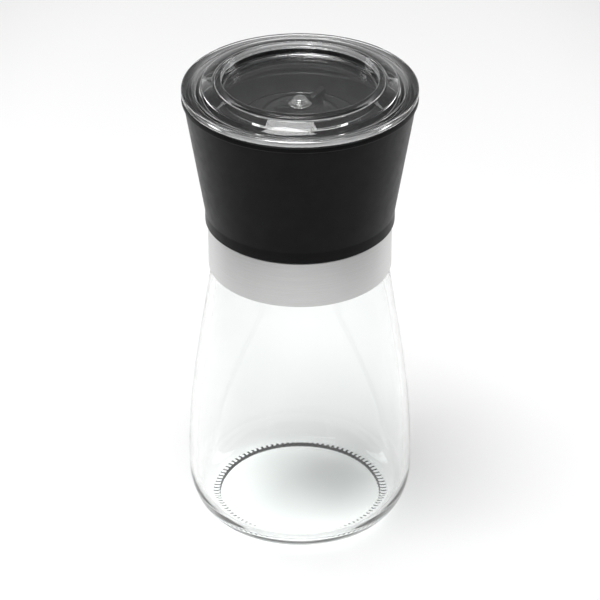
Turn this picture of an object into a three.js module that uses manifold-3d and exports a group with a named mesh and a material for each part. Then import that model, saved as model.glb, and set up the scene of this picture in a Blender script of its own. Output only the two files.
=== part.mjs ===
// A pepper mill with its grinder in the head: a clear glass jar, a collar that screws onto it,
// a cup that is turned by hand to grind, and a clear dust lid.
//
// Units are millimetres, +Z is up, and z = 0 is the surface that the jar stands on.
// The pieces sit in four nested frames on one axis: the jar's foot, the jar's lip,
// the cup's floor and the cup's rim.

import * as THREE from 'three';
import { LoftGeometry } from 'three/addons/geometries/LoftGeometry.js';
import { mergeVertices } from 'three/addons/utils/BufferGeometryUtils.js';
import Module from 'manifold-3d';

const wasm = await Module();
wasm.setup();

// ---------------------------------------------------------------- driving dimensions

const CLEARANCE = 0.3; // between two pieces that touch or run on each other
const SEAL_PLAY = 0.1; // above and below the silicone seal

// Jar
const JAR_HEIGHT = 108;
const JAR_RADIUS = 37.5;
const JAR_WALL = 2.5;
const JAR_FLOOR = 4;
const HEEL_WIDTH = 9; // the rounded bottom corner, across and up
const HEEL_HEIGHT = 16;
const FOOT_RADIUS = 29.5; // middle of the ring that touches the table
const FOOT_WIDTH = 2.4;
const PUSH_UP = 1.2; // hollow under the base
const SHOULDER_DROP = 17; // from the lip down to where the shoulder starts
const SHOULDER_RISE = 6.2;
const NECK_RADIUS = 25.2;
const NECK_WALL = 2;
const LIP_BEAD = 0.45;
const LIP_HEIGHT = 1.5;

// Screw thread between the jar and the collar: single start, right hand
const THREAD_PITCH = 4.5;
const THREAD_DEPTH = 2.2;
const THREAD_ROOT = 2.6; // ridge width where it meets the wall
const THREAD_CREST = 1.2;
const THREAD_TOP = 3; // centre of the ridge's upper end below the lip
const THREAD_TURNS = 1.575;
const THREAD_START = 265.6; // compass angle of the upper end, degrees from +X
const COLLAR_THREAD_TURNS = 1.25;
const COLLAR_THREAD_ROOT = 1.9;
const COLLAR_THREAD_CREST = 0.9;

// Collar, seal and band
const SEAL_THICKNESS = 1.2;
const COLLAR_PLAY = 0.6; // between the jar's ridge and the collar's bore
const COLLAR_WALL = 1.1;
const COLLAR_SKIRT = 14; // from the ledge down to the lower edge
const COLLAR_LEDGE = 1.6;
const LEDGE_WIDTH = 6;
const SLEEVE_WALL = 2;
const SLEEVE_HEIGHT = 12;
const BAND_THICKNESS = 0.6;
const BAND_HEIGHT = 16;
const GLIDE_THICKNESS = 1;
const SNAP_THICKNESS = 1.2;
const SNAP_WIDTH = 2.4;
const SNAP_GAP = 20; // degrees

// Cup
const CUP_HEIGHT = 45.5;
const CUP_DEPTH = 10.5; // from the rim to the cup's floor
const CUP_WALL = 2.2;
const CUP_FLOOR = 2.4;
const RIM_RADIUS = 38;
const RIM_WIDTH = 2.9;
const RIM_HEIGHT = 1.6;
const RIM_OVERHANG = 0.65; // how far the rim stands out past the top of the cone
const FOOT_BAND = 4; // upright stretch at the foot of the cone
const RIB_HEIGHT = 3;
const BOSS_WALL = 1.7;
const BOSS_DEPTH = 16; // from the floor's top down to the boss's lower edge

// Grinder, worked out from the knob outwards and inwards
const KNOB_RADIUS = 13.3;
const KNOB_FLUTES = 20;
const KNOB_HEIGHT = 6;
const KNOB_SKIRT = 1.8; // straight part of the knob's side
const KNOB_WALL = 1.3; // behind the bottom of a flute
const WING_ANGLE = 44; // compass angle of one wing, degrees from +X
const WING_THICKNESS = 2.1;
const WING_RISE = 3.1; // tip of a wing above the knob's flat top
const MARK_COUNT = 4;
const MARK_ANGLE = 260; // compass angle of the first mark
const MARK_STEP = 21;
const MARK_SETBACK = 3.5; // from the knob's edge in to the marks
const SHAFT_SQUARE = 4.6;
const SHAFT_HEAD = 2.7;
const STUD_RADIUS = 2;
const DRIVER_FLATS = 11;
const FLANGE_THICKNESS = 1.3;
const WASHER_THICKNESS = 0.8;
const BURR_TRAVEL = 0.7; // how far the knob and the inner burr drop at the coarsest setting
const SPRING_WIRE = 1;
const SPRING_LENGTH = 6.1;
const SPRING_TURNS = 3.5;
const BURR_HEIGHT = 12.9;
const INNER_TEETH = 12;
const OUTER_TEETH = 18;
const BRIDGE_HEIGHT = 3;
const SPOKE_COUNT = 3;
const SPOKE_WIDTH = 3;
const STAR_TEETH = 18;

// Lid
const LID_HEIGHT = 5.7; // from the rim to the raised ring's top
const LID_FLANGE = 2.3;
const LID_PLUG_DEPTH = 3.5;
const LID_PLUG_WALL = 1.8;
const LID_RING_RADIUS = 25.9;
const LID_RING_WIDTH = 1.4;
const LID_FLOOR = 1.5;

// ---------------------------------------------------------------- sizes that follow

const LIP_BORE = NECK_RADIUS - NECK_WALL;
const COLLAR_BORE = NECK_RADIUS + THREAD_DEPTH + COLLAR_PLAY;
const COLLAR_RADIUS = COLLAR_BORE + COLLAR_WALL;
const BAND_BORE = COLLAR_RADIUS + CLEARANCE;
const BAND_RADIUS = BAND_BORE + BAND_THICKNESS;
const SHOULDER_RADIUS = BAND_BORE - 0.2;
const SHOULDER_Z = JAR_HEIGHT - SHOULDER_DROP;
const BEAD_RADIUS = NECK_RADIUS + LIP_BEAD;

// Heights above the jar's lip
const LEDGE_Z = SEAL_THICKNESS + 2 * SEAL_PLAY;
const LEDGE_TOP = LEDGE_Z + COLLAR_LEDGE;
const COLLAR_BOTTOM = LEDGE_Z - COLLAR_SKIRT;
const STEP_Z = 0.7; // top of the collar's wide part, just under the cup
const BAND_TOP = STEP_Z - 0.1;
const CUP_BOTTOM = STEP_Z + CLEARANCE;
const GLIDE_Z = LEDGE_TOP + CLEARANCE;
const RIB_Z = GLIDE_Z + GLIDE_THICKNESS + CLEARANCE;
const SNAP_Z = RIB_Z + RIB_HEIGHT + CLEARANCE;
const SLEEVE_TOP = LEDGE_TOP + SLEEVE_HEIGHT;
const RIM_Z = CUP_BOTTOM + CUP_HEIGHT;
const FLOOR_Z = RIM_Z - CUP_DEPTH;
const BRIDGE_Z = LEDGE_TOP + CLEARANCE;

// Radii of the bearing between the collar and the cup
const COLLAR_THROAT = COLLAR_BORE - LEDGE_WIDTH;
const SLEEVE_RADIUS = COLLAR_BORE - 1.4;
const SLEEVE_BORE = SLEEVE_RADIUS - SLEEVE_WALL;
const SNAP_GROOVE = SLEEVE_RADIUS - 1;
const NECK_STEP = COLLAR_RADIUS - 0.9;
const CUP_FOOT_BORE = NECK_STEP + 0.4;
const CUP_FOOT_RADIUS = BAND_RADIUS + 0.9;

// Grinder radii
const CARRIER_LIP = KNOB_RADIUS + 2.3;
const OUTER_BURR_RADIUS = CARRIER_LIP + 1.4;
const CARRIER_BORE = OUTER_BURR_RADIUS + CLEARANCE;
const CARRIER_RADIUS = CARRIER_BORE + 1.7;
const CARRIER_FLANGE = CARRIER_RADIUS + 0.4;
const BOSS_BORE = CARRIER_RADIUS + CLEARANCE;
const INNER_BURR_RADIUS = KNOB_RADIUS - 0.8;
const RETAINER_BORE = KNOB_RADIUS + 0.5;
const SHAFT_CORNER = (SHAFT_SQUARE / 2) * Math.SQRT2;
const SQUARE_HOLE = SHAFT_SQUARE + 2 * CLEARANCE;
const HUB_RADIUS = (SQUARE_HOLE / 2) * Math.SQRT2 + 1.4;
const SHAFT_HEAD_RADIUS = SHAFT_CORNER + 1.25;
const CLIP_GROOVE = SHAFT_CORNER - 0.5;
const SPRING_RADIUS = SHAFT_CORNER + CLEARANCE + SPRING_WIRE / 2;
const WASHER_BORE = SHAFT_CORNER + CLEARANCE;
const WASHER_RADIUS = SPRING_RADIUS + SPRING_WIRE / 2 + 0.6;
const HEX_BORE_FLATS = DRIVER_FLATS + 2 * CLEARANCE;
const HEX_BORE_CORNER = HEX_BORE_FLATS / Math.sqrt(3);
const KNOB_BORE = STUD_RADIUS + CLEARANCE;
const KNOB_HUB = HEX_BORE_CORNER + 0.8;

// Heights from the cup's floor
const LIP_UNDER = -1.8; // underside of the carrier's lip
const OUTER_BURR_TOP = LIP_UNDER - CLEARANCE;
const OUTER_BURR_BOTTOM = OUTER_BURR_TOP - BURR_HEIGHT;
const RETAINER_TOP = OUTER_BURR_BOTTOM - CLEARANCE;
const RETAINER_BOTTOM = RETAINER_TOP - 1.3;
const CARRIER_BOTTOM = RETAINER_BOTTOM - 0.4;
const INNER_BURR_TOP = OUTER_BURR_TOP + 0.4;
const INNER_BURR_BOTTOM = OUTER_BURR_BOTTOM + 0.5;
const DRIVER_TOP = INNER_BURR_TOP - CLEARANCE;
const FLANGE_TOP = INNER_BURR_BOTTOM - CLEARANCE;
const FLANGE_BOTTOM = FLANGE_TOP - FLANGE_THICKNESS;
const WASHER_Z = FLANGE_BOTTOM - CLEARANCE - WASHER_THICKNESS;
const SPRING_Z = WASHER_Z - CLEARANCE - SPRING_LENGTH;
const CLIP_Z = SPRING_Z - CLEARANCE - WASHER_THICKNESS;
const HUB_TOP = FLOOR_Z + CLIP_Z - CLEARANCE; // above the jar's lip
const KNOB_HUB_BOTTOM = INNER_BURR_TOP + CLEARANCE;
const KNOB_BOTTOM = KNOB_HUB_BOTTOM + 0.4;
const KNOB_TOP = KNOB_BOTTOM + KNOB_HEIGHT;
const STAR_Z = KNOB_TOP + CLEARANCE;
const STAR_THICKNESS = 0.5;
const CAP_Z = STAR_Z + STAR_THICKNESS + CLEARANCE;
const STUD_TOP = CAP_Z + 0.4;

const ROUND = 32; // facets of the large round pieces
const SMALL_ROUND = 20;

// ---------------------------------------------------------------- helpers

const degrees = THREE.MathUtils.degToRad;

// Turns an outline of [radius, height] points round the Z axis.
function turned(outline, facets) {
  const points = outline.map(([radius, height]) => new THREE.Vector2(radius, height));
  const geometry = new THREE.LatheGeometry(points, facets);
  return geometry.rotateX(Math.PI / 2);
}

// A closed ring outline with a rectangular section, ready to be turned.
function ringOutline(bore, radius, bottom, top) {
  return [
    [bore, bottom],
    [radius, bottom],
    [radius, top],
    [bore, top],
    [bore, bottom],
  ];
}

// Points of an elliptical arc in the radius and height plane.
function arc(centre, semiAxes, fromAngle, toAngle, steps) {
  const points = [];
  for (let i = 0; i <= steps; i++) {
    const angle = degrees(THREE.MathUtils.lerp(fromAngle, toAngle, i / steps));
    const radius = centre[0] + semiAxes[0] * Math.cos(angle);
    points.push([radius, centre[1] + semiAxes[1] * Math.sin(angle)]);
  }
  return points;
}

// Points of a Bezier curve through the given [radius, height] control points.
function bezier(controls, steps) {
  const vectors = controls.map(([radius, height]) => new THREE.Vector2(radius, height));
  const Curve = controls.length === 4 ? THREE.CubicBezierCurve : THREE.QuadraticBezierCurve;
  return new Curve(...vectors).getPoints(steps).map((point) => [point.x, point.y]);
}

// An outline in the XY plane raised from one height to another.
function raised(shape, bottom, top, curveSegments = 1) {
  const settings = { depth: top - bottom, bevelEnabled: false, curveSegments };
  return new THREE.ExtrudeGeometry(shape, settings).translate(0, 0, bottom);
}

// A regular polygon, a star or a gear outline, from a radius for each point in turn.
function polygon(count, radiusAt, turn = 0) {
  const points = [];
  for (let i = 0; i < count; i++) {
    const angle = turn + (i / count) * 2 * Math.PI;
    points.push(new THREE.Vector2(Math.cos(angle), Math.sin(angle)).multiplyScalar(radiusAt(i)));
  }
  return points;
}

// A closed geometry as a solid that can be joined and cut.
function solid(geometry) {
  const bare = new THREE.BufferGeometry().copy(geometry);
  bare.deleteAttribute('normal');
  bare.deleteAttribute('uv');
  const merged = mergeVertices(bare, 1e-4);
  const vertProperties = new Float32Array(merged.attributes.position.array);
  const triVerts = new Uint32Array(merged.index.array);
  return new wasm.Manifold(new wasm.Mesh({ numProp: 3, vertProperties, triVerts }));
}

// A solid back as a geometry.
function surface(manifold) {
  const mesh = manifold.getMesh();
  const geometry = new THREE.BufferGeometry();
  geometry.setAttribute('position', new THREE.BufferAttribute(mesh.vertProperties, 3));
  geometry.setIndex(new THREE.BufferAttribute(mesh.triVerts, 1));
  return geometry;
}

// A helical ridge: its section is a trapezium between the root and crest radii, and it grows
// from nothing and fades out again over a short angle at each end.
function helicalRidge({ rootRadius, crestRadius, rootWidth, crestWidth, topZ, topAngle, turns }) {
  const stepAngle = 15;
  const fadeAngle = 22;
  const sweep = turns * 360;
  const steps = Math.round(sweep / stepAngle);
  const sections = [];
  for (let i = 0; i <= steps; i++) {
    const along = (i / steps) * sweep;
    const fromEnd = Math.min(along, sweep - along);
    const height = THREE.MathUtils.clamp(fromEnd / fadeAngle, 0.12, 1);
    const angle = degrees(topAngle - sweep + along);
    const z = topZ - ((sweep - along) / 360) * THREAD_PITCH;
    const crest = THREE.MathUtils.lerp(rootRadius, crestRadius, height);
    const corners = [
      [rootRadius, z - rootWidth / 2],
      [crest, z - crestWidth / 2],
      [crest, z + crestWidth / 2],
      [rootRadius, z + rootWidth / 2],
    ];
    if (crestRadius > rootRadius) corners.reverse();
    sections.push(corners.map(([r, h]) => new THREE.Vector3(r * Math.cos(angle), r * Math.sin(angle), h)));
  }
  return new LoftGeometry(sections, { capStart: true, capEnd: true });
}

// ---------------------------------------------------------------- materials

function material(color, roughness, metalness = 0, opacity = 1) {
  return new THREE.MeshStandardMaterial({ color, roughness, metalness, opacity, transparent: opacity < 1 });
}

const clearGlass = () => material(0xf4f8f8, 0.03, 0, 0.3);
const clearPlastic = () => material(0xf6f7f7, 0.08, 0, 0.35);
const clearSilicone = () => material(0xe4e6e4, 0.5, 0, 0.7);
const mattBlack = () => material(0x18181a, 0.55);
const glossBlack = () => material(0x0b0b0c, 0.15);
const brushedSteel = () => material(0xb9b9b7, 0.34, 1);
const brightSteel = () => material(0xd2d2d0, 0.18, 1);
const whiteCeramic = () => material(0xf3f1ec, 0.3);
const paleNylon = () => material(0xdcdad2, 0.45);

// ---------------------------------------------------------------- jar

// The outline runs from the axis under the base, up the outside, over the lip and down inside.
function jarGeometry() {
  const heelCentre = [JAR_RADIUS - HEEL_WIDTH, HEEL_HEIGHT];
  const wallRise = SHOULDER_Z - HEEL_HEIGHT;
  const waist = THREE.MathUtils.lerp(SHOULDER_RADIUS, JAR_RADIUS, 0.58);
  const wallControls = (wall) => [
    [JAR_RADIUS - wall, HEEL_HEIGHT],
    [JAR_RADIUS + 0.1 - wall, HEEL_HEIGHT + 0.35 * wallRise],
    [waist - wall, SHOULDER_Z - 0.41 * wallRise],
    [SHOULDER_RADIUS - wall, SHOULDER_Z],
  ];
  const shoulderControls = (wall, neck) => [
    [SHOULDER_RADIUS - wall, SHOULDER_Z],
    [SHOULDER_RADIUS - 0.6 - wall, SHOULDER_Z + 0.58 * SHOULDER_RISE],
    [neck, SHOULDER_Z + SHOULDER_RISE],
  ];
  const outside = [
    [0, PUSH_UP],
    [FOOT_RADIUS - FOOT_WIDTH, PUSH_UP],
    [FOOT_RADIUS - FOOT_WIDTH / 2, 0],
    [FOOT_RADIUS + FOOT_WIDTH / 2, 0],
    ...arc(heelCentre, [HEEL_WIDTH, HEEL_HEIGHT], -72, 0, 5),
    ...bezier(wallControls(0), 6).slice(1),
    ...bezier(shoulderControls(0, NECK_RADIUS), 3).slice(1),
    [NECK_RADIUS, JAR_HEIGHT - LIP_HEIGHT],
    [BEAD_RADIUS, JAR_HEIGHT - LIP_HEIGHT + 0.4],
    [BEAD_RADIUS, JAR_HEIGHT - 0.5],
    [NECK_RADIUS, JAR_HEIGHT],
  ];
  const inside = [
    [LIP_BORE + 0.4, JAR_HEIGHT],
    [LIP_BORE, JAR_HEIGHT - 0.5],
    ...bezier(shoulderControls(JAR_WALL, LIP_BORE), 3).reverse().slice(0, -1),
    ...bezier(wallControls(JAR_WALL), 6).reverse(),
    ...arc(heelCentre, [HEEL_WIDTH - JAR_WALL, HEEL_HEIGHT - JAR_FLOOR], 0, -90, 4).slice(1),
    [0, JAR_FLOOR],
  ];
  const ridge = helicalRidge({
    rootRadius: NECK_RADIUS - 0.5,
    crestRadius: NECK_RADIUS + THREAD_DEPTH,
    rootWidth: THREAD_ROOT,
    crestWidth: THREAD_CREST,
    topZ: JAR_HEIGHT - THREAD_TOP,
    topAngle: THREAD_START,
    turns: THREAD_TURNS,
  });
  return surface(solid(turned([...outside, ...inside], ROUND)).add(solid(ridge)));
}

function sealGeometry() {
  const bottom = SEAL_PLAY;
  return turned(ringOutline(LIP_BORE - 0.7, BEAD_RADIUS + 0.35, bottom, bottom + SEAL_THICKNESS), ROUND);
}

// ---------------------------------------------------------------- collar

// A skirt with the inner thread, a ledge over the seal, and a sleeve that the cup turns on.
function collarGeometry() {
  const threadZ = -THREAD_TOP - THREAD_PITCH / 2;
  const boreTop = threadZ + THREAD_PITCH / 2 + THREAD_ROOT / 2 + CLEARANCE;
  const grooveMargin = 0.2;
  const body = turned([
    [COLLAR_BORE, COLLAR_BOTTOM],
    [COLLAR_RADIUS, COLLAR_BOTTOM],
    [COLLAR_RADIUS, STEP_Z],
    [NECK_STEP, STEP_Z],
    [NECK_STEP, LEDGE_TOP],
    [SLEEVE_RADIUS, LEDGE_TOP],
    [SLEEVE_RADIUS, SNAP_Z - grooveMargin],
    [SNAP_GROOVE, SNAP_Z - grooveMargin],
    [SNAP_GROOVE, SNAP_Z + SNAP_THICKNESS + grooveMargin],
    [SLEEVE_RADIUS, SNAP_Z + SNAP_THICKNESS + grooveMargin],
    [SLEEVE_RADIUS, SLEEVE_TOP - 0.6],
    [SLEEVE_RADIUS - 0.6, SLEEVE_TOP],
    [SLEEVE_BORE, SLEEVE_TOP],
    [SLEEVE_BORE, LEDGE_TOP],
    [COLLAR_THROAT, LEDGE_TOP],
    [COLLAR_THROAT, LEDGE_Z],
    [BEAD_RADIUS + 0.55, LEDGE_Z],
    [BEAD_RADIUS + 0.55, boreTop],
    [COLLAR_BORE, boreTop],
    [COLLAR_BORE, COLLAR_BOTTOM],
  ], ROUND);
  const ridge = helicalRidge({
    rootRadius: COLLAR_BORE + 0.4,
    crestRadius: NECK_RADIUS + 0.7,
    rootWidth: COLLAR_THREAD_ROOT,
    crestWidth: COLLAR_THREAD_CREST,
    topZ: threadZ,
    topAngle: THREAD_START,
    turns: COLLAR_THREAD_TURNS,
  });
  return surface(solid(body).add(solid(ridge)));
}

function bandGeometry() {
  const bottom = BAND_TOP - BAND_HEIGHT;
  const edge = 0.2;
  return turned([
    [BAND_BORE, bottom],
    [BAND_RADIUS - edge, bottom],
    [BAND_RADIUS, bottom + edge],
    [BAND_RADIUS, BAND_TOP - edge],
    [BAND_RADIUS - edge, BAND_TOP],
    [BAND_BORE, BAND_TOP],
    [BAND_BORE, bottom],
  ], ROUND);
}

function glideRingGeometry() {
  const bore = SLEEVE_RADIUS + CLEARANCE;
  return turned(ringOutline(bore, NECK_STEP - 0.2, GLIDE_Z, GLIDE_Z + GLIDE_THICKNESS), ROUND);
}

// A flat ring that is open over a small angle, so that it can be sprung into a groove.
function openRing(bore, radius, gapAngle, bottom, top, curveSegments) {
  const half = degrees(gapAngle) / 2;
  const shape = new THREE.Shape();
  shape.absarc(0, 0, radius, half, 2 * Math.PI - half, false);
  shape.absarc(0, 0, bore, 2 * Math.PI - half, half, true);
  shape.closePath();
  return raised(shape, bottom, top, curveSegments);
}

function snapRingGeometry() {
  const bore = SNAP_GROOVE + CLEARANCE;
  return openRing(bore, bore + SNAP_WIDTH, SNAP_GAP, SNAP_Z, SNAP_Z + SNAP_THICKNESS, ROUND);
}

// A ring on the collar's ledge, three spokes, and a hub with the shaft's square hole.
function bridgeGeometry() {
  const top = BRIDGE_Z + BRIDGE_HEIGHT;
  const ringRadius = SLEEVE_BORE - CLEARANCE;
  const ringBore = COLLAR_THROAT - 1;
  const hubBottom = LEDGE_Z + 0.1;
  let bridge = solid(turned(ringOutline(ringBore, ringRadius, BRIDGE_Z, top), ROUND));
  const hub = new THREE.CylinderGeometry(HUB_RADIUS, HUB_RADIUS, HUB_TOP - hubBottom, SMALL_ROUND);
  hub.rotateX(Math.PI / 2);
  hub.translate(0, 0, (HUB_TOP + hubBottom) / 2);
  bridge = bridge.add(solid(hub));
  const reach = ringBore + 0.5 - HUB_RADIUS / 2;
  for (let i = 0; i < SPOKE_COUNT; i++) {
    const spoke = new THREE.BoxGeometry(reach, SPOKE_WIDTH, BRIDGE_HEIGHT);
    spoke.translate(HUB_RADIUS / 2 + reach / 2, 0, BRIDGE_Z + BRIDGE_HEIGHT / 2);
    spoke.rotateZ(Math.PI / 2 + (i / SPOKE_COUNT) * 2 * Math.PI);
    bridge = bridge.add(solid(spoke));
  }
  const hole = new THREE.BoxGeometry(SQUARE_HOLE, SQUARE_HOLE, 4 * (HUB_TOP - hubBottom));
  return surface(bridge.subtract(solid(hole)));
}

// Carries the peppercorns from the sleeve to the burrs.
function funnelGeometry() {
  const wall = 1.4;
  const bottom = BRIDGE_Z + BRIDGE_HEIGHT + CLEARANCE;
  const top = FLOOR_Z + CARRIER_BOTTOM - 0.4;
  const wide = SLEEVE_BORE - CLEARANCE;
  const narrow = RETAINER_BORE - 0.2;
  return turned([
    [wide - wall, bottom],
    [wide, bottom],
    [wide, bottom + 2],
    [narrow + wall, top],
    [narrow, top],
    [wide - wall, bottom + 1.2],
    [wide - wall, bottom],
  ], ROUND);
}

// ---------------------------------------------------------------- shaft

// A round head, a square body with a clip groove, and a round threaded end.
function shaftGeometry() {
  const headTop = LEDGE_Z - 0.2;
  const squareTop = FLOOR_Z + KNOB_HUB_BOTTOM - BURR_TRAVEL - CLEARANCE;
  const studTop = FLOOR_Z + STUD_TOP;
  const grooveBottom = FLOOR_Z + CLIP_Z - CLEARANCE;
  const grooveTop = FLOOR_Z + CLIP_Z + WASHER_THICKNESS + CLEARANCE;
  const ends = turned([
    [0, headTop - SHAFT_HEAD],
    [SHAFT_HEAD_RADIUS - 0.4, headTop - SHAFT_HEAD],
    [SHAFT_HEAD_RADIUS, headTop - SHAFT_HEAD + 0.4],
    [SHAFT_HEAD_RADIUS, headTop],
    [STUD_RADIUS, headTop],
    [STUD_RADIUS, studTop - 0.3],
    [STUD_RADIUS - 0.3, studTop],
    [0, studTop],
  ], SMALL_ROUND);
  const body = new THREE.BoxGeometry(SHAFT_SQUARE, SHAFT_SQUARE, squareTop - headTop + 0.2);
  body.translate(0, 0, (squareTop + headTop - 0.2) / 2);
  const groove = turned(ringOutline(CLIP_GROOVE, SHAFT_CORNER + 1, grooveBottom, grooveTop), SMALL_ROUND);
  return surface(solid(ends).add(solid(body)).subtract(solid(groove)));
}

function clipGeometry() {
  const bore = CLIP_GROOVE + CLEARANCE;
  return openRing(bore, HUB_RADIUS - 0.2, 60, CLIP_Z, CLIP_Z + WASHER_THICKNESS, SMALL_ROUND);
}

// The spring's centre line, wound from its lower seat to its upper one.
class SpringCurve extends THREE.Curve {
  getPoint(t, target = new THREE.Vector3()) {
    const angle = t * SPRING_TURNS * 2 * Math.PI;
    const z = SPRING_Z + SPRING_WIRE / 2 + t * (SPRING_LENGTH - SPRING_WIRE);
    return target.set(SPRING_RADIUS * Math.cos(angle), SPRING_RADIUS * Math.sin(angle), z);
  }
}

function springGeometry() {
  const wire = new THREE.Shape(polygon(6, () => SPRING_WIRE / 2));
  const steps = Math.round(SPRING_TURNS * 12);
  return new THREE.ExtrudeGeometry(wire, { steps, extrudePath: new SpringCurve() });
}

function starWasherGeometry() {
  const radius = STUD_RADIUS + 1.8;
  const shape = new THREE.Shape(polygon(2 * STAR_TEETH, (i) => (i % 2 ? radius - 0.45 : radius)));
  shape.holes.push(new THREE.Path(polygon(SMALL_ROUND, () => KNOB_BORE).reverse()));
  return raised(shape, STAR_Z, STAR_Z + STAR_THICKNESS);
}

// A small stepped dome with a blind bore over the end of the stud.
function endCapGeometry() {
  const radius = KNOB_BORE + 0.6;
  const boreTop = STUD_TOP + CLEARANCE;
  return turned([
    [0, boreTop],
    [KNOB_BORE, boreTop],
    [KNOB_BORE, CAP_Z],
    [radius, CAP_Z],
    [radius, CAP_Z + 0.5],
    [radius - 0.35, CAP_Z + 0.6],
    [radius - 0.35, CAP_Z + 1],
    [radius - 0.9, CAP_Z + 1.2],
    [radius - 0.9, CAP_Z + 1.45],
    [0, CAP_Z + 1.7],
  ], SMALL_ROUND);
}

// ---------------------------------------------------------------- burrs

// A twisted toothed core: each level is [height, tip radius, tooth depth, twist in degrees],
// and each tooth is a saw tooth with a steep and a shallow side.
function toothedCore(teeth, levels) {
  const pointsPerTooth = 3;
  const depthShare = [0, 1, 0.45];
  const sections = levels.map(([z, tip, depth, twist]) => {
    const radiusAt = (i) => tip - depth * depthShare[i % pointsPerTooth];
    const outline = polygon(teeth * pointsPerTooth, radiusAt, degrees(twist));
    return outline.map((point) => new THREE.Vector3(point.x, point.y, z));
  });
  return new LoftGeometry(sections, { capStart: true, capEnd: true });
}

function hexagon(acrossFlats, bottom, top) {
  return raised(new THREE.Shape(polygon(6, () => acrossFlats / Math.sqrt(3))), bottom, top);
}

function innerBurrGeometry() {
  const radius = INNER_BURR_RADIUS;
  const entry = HEX_BORE_CORNER + 1.9;
  const height = INNER_BURR_TOP - INNER_BURR_BOTTOM;
  const core = toothedCore(INNER_TEETH, [
    [INNER_BURR_BOTTOM, entry, 1.2, 0],
    [INNER_BURR_BOTTOM + 0.35 * height, THREE.MathUtils.lerp(entry, radius, 0.58), 1.2, 22],
    [INNER_BURR_BOTTOM + 0.66 * height, radius - 0.5, 0.8, 42],
    [INNER_BURR_TOP, radius, 0.5, 64],
  ]);
  const bore = hexagon(HEX_BORE_FLATS, INNER_BURR_BOTTOM - 1, INNER_BURR_TOP + 1);
  return surface(solid(core).subtract(solid(bore)));
}

// The ring's bore narrows from the entry to a throat and flares a little at the exit.
function outerBurrGeometry() {
  const radius = INNER_BURR_RADIUS;
  const throatZ = OUTER_BURR_BOTTOM + 0.66 * BURR_HEIGHT;
  const ring = turned([
    [0, OUTER_BURR_BOTTOM],
    [OUTER_BURR_RADIUS, OUTER_BURR_BOTTOM],
    [OUTER_BURR_RADIUS, OUTER_BURR_TOP],
    [0, OUTER_BURR_TOP],
  ], ROUND);
  const bore = toothedCore(OUTER_TEETH, [
    [OUTER_BURR_BOTTOM - 1, radius + 2.1, 1, 8],
    [OUTER_BURR_BOTTOM, radius + 2, 1, 4],
    [throatZ, radius + 0.8, 0.7, -26],
    [OUTER_BURR_TOP, radius + 1.1, 0.4, -42],
    [OUTER_BURR_TOP + 1, radius + 1.2, 0.4, -46],
  ]);
  return surface(solid(ring).subtract(solid(bore)));
}

// A hexagonal core with a flange under the burr and a square hole for the shaft.
function driverGeometry() {
  const flangeRadius = HEX_BORE_CORNER + 0.5;
  const flange = new THREE.CylinderGeometry(flangeRadius, flangeRadius, FLANGE_THICKNESS, SMALL_ROUND);
  flange.rotateX(Math.PI / 2);
  flange.translate(0, 0, (FLANGE_TOP + FLANGE_BOTTOM) / 2);
  const core = hexagon(DRIVER_FLATS, FLANGE_BOTTOM + FLANGE_THICKNESS / 2, DRIVER_TOP);
  const hole = new THREE.BoxGeometry(SQUARE_HOLE, SQUARE_HOLE, 6 * BURR_HEIGHT);
  return surface(solid(flange).add(solid(core)).subtract(solid(hole)));
}

function thrustWasherGeometry() {
  return turned(ringOutline(WASHER_BORE, WASHER_RADIUS, WASHER_Z, WASHER_Z + WASHER_THICKNESS), SMALL_ROUND);
}

// A tube round the outer burr, with a sloping gloss lip that is flush with the cup's floor.
function carrierGeometry() {
  const flangeBottom = -1.4;
  return turned([
    [CARRIER_BORE, CARRIER_BOTTOM],
    [CARRIER_RADIUS, CARRIER_BOTTOM],
    [CARRIER_RADIUS, flangeBottom],
    [CARRIER_FLANGE, flangeBottom],
    [CARRIER_FLANGE, 0],
    [CARRIER_FLANGE - 0.3, 0],
    [CARRIER_LIP, LIP_UNDER + 0.2],
    [CARRIER_LIP, LIP_UNDER],
    [CARRIER_BORE, LIP_UNDER],
    [CARRIER_BORE, CARRIER_BOTTOM],
  ], ROUND);
}

function retainerGeometry() {
  return turned(ringOutline(RETAINER_BORE, OUTER_BURR_RADIUS, RETAINER_BOTTOM, RETAINER_TOP), ROUND);
}

// ---------------------------------------------------------------- knob

// The knob's turned body, hollow underneath round a hub that presses on the inner burr.
function knobBody() {
  const skirtBore = KNOB_RADIUS - 1.1 - KNOB_WALL;
  const domeBottom = KNOB_BOTTOM + KNOB_SKIRT;
  const domeRise = KNOB_TOP - domeBottom;
  const flatTop = 4.4;
  const dome = arc([flatTop, domeBottom], [KNOB_RADIUS - flatTop, domeRise], 0, 90, 6);
  return turned([
    [KNOB_BORE, KNOB_HUB_BOTTOM],
    [KNOB_HUB, KNOB_HUB_BOTTOM],
    [KNOB_HUB, domeBottom + 1],
    [skirtBore - 0.6, domeBottom],
    [skirtBore, KNOB_BOTTOM],
    [KNOB_RADIUS, KNOB_BOTTOM],
    ...dome,
    [KNOB_BORE, KNOB_TOP],
    [KNOB_BORE, KNOB_HUB_BOTTOM],
  ], KNOB_FLUTES * 2);
}

// An upright wing, thin in plan, whose top edge rises towards its outer end.
function wing(turn) {
  const inner = KNOB_BORE + 2;
  const outer = KNOB_RADIUS - 2.7;
  const foot = KNOB_TOP - 2.4;
  const side = new THREE.Shape([
    new THREE.Vector2(inner, foot),
    new THREE.Vector2(outer, foot),
    new THREE.Vector2(outer, KNOB_TOP + WING_RISE),
    new THREE.Vector2(inner, KNOB_TOP + 0.42 * WING_RISE),
  ]);
  const geometry = raised(side, -WING_THICKNESS / 2, WING_THICKNESS / 2);
  return geometry.rotateX(Math.PI / 2).rotateZ(turn);
}

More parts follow.
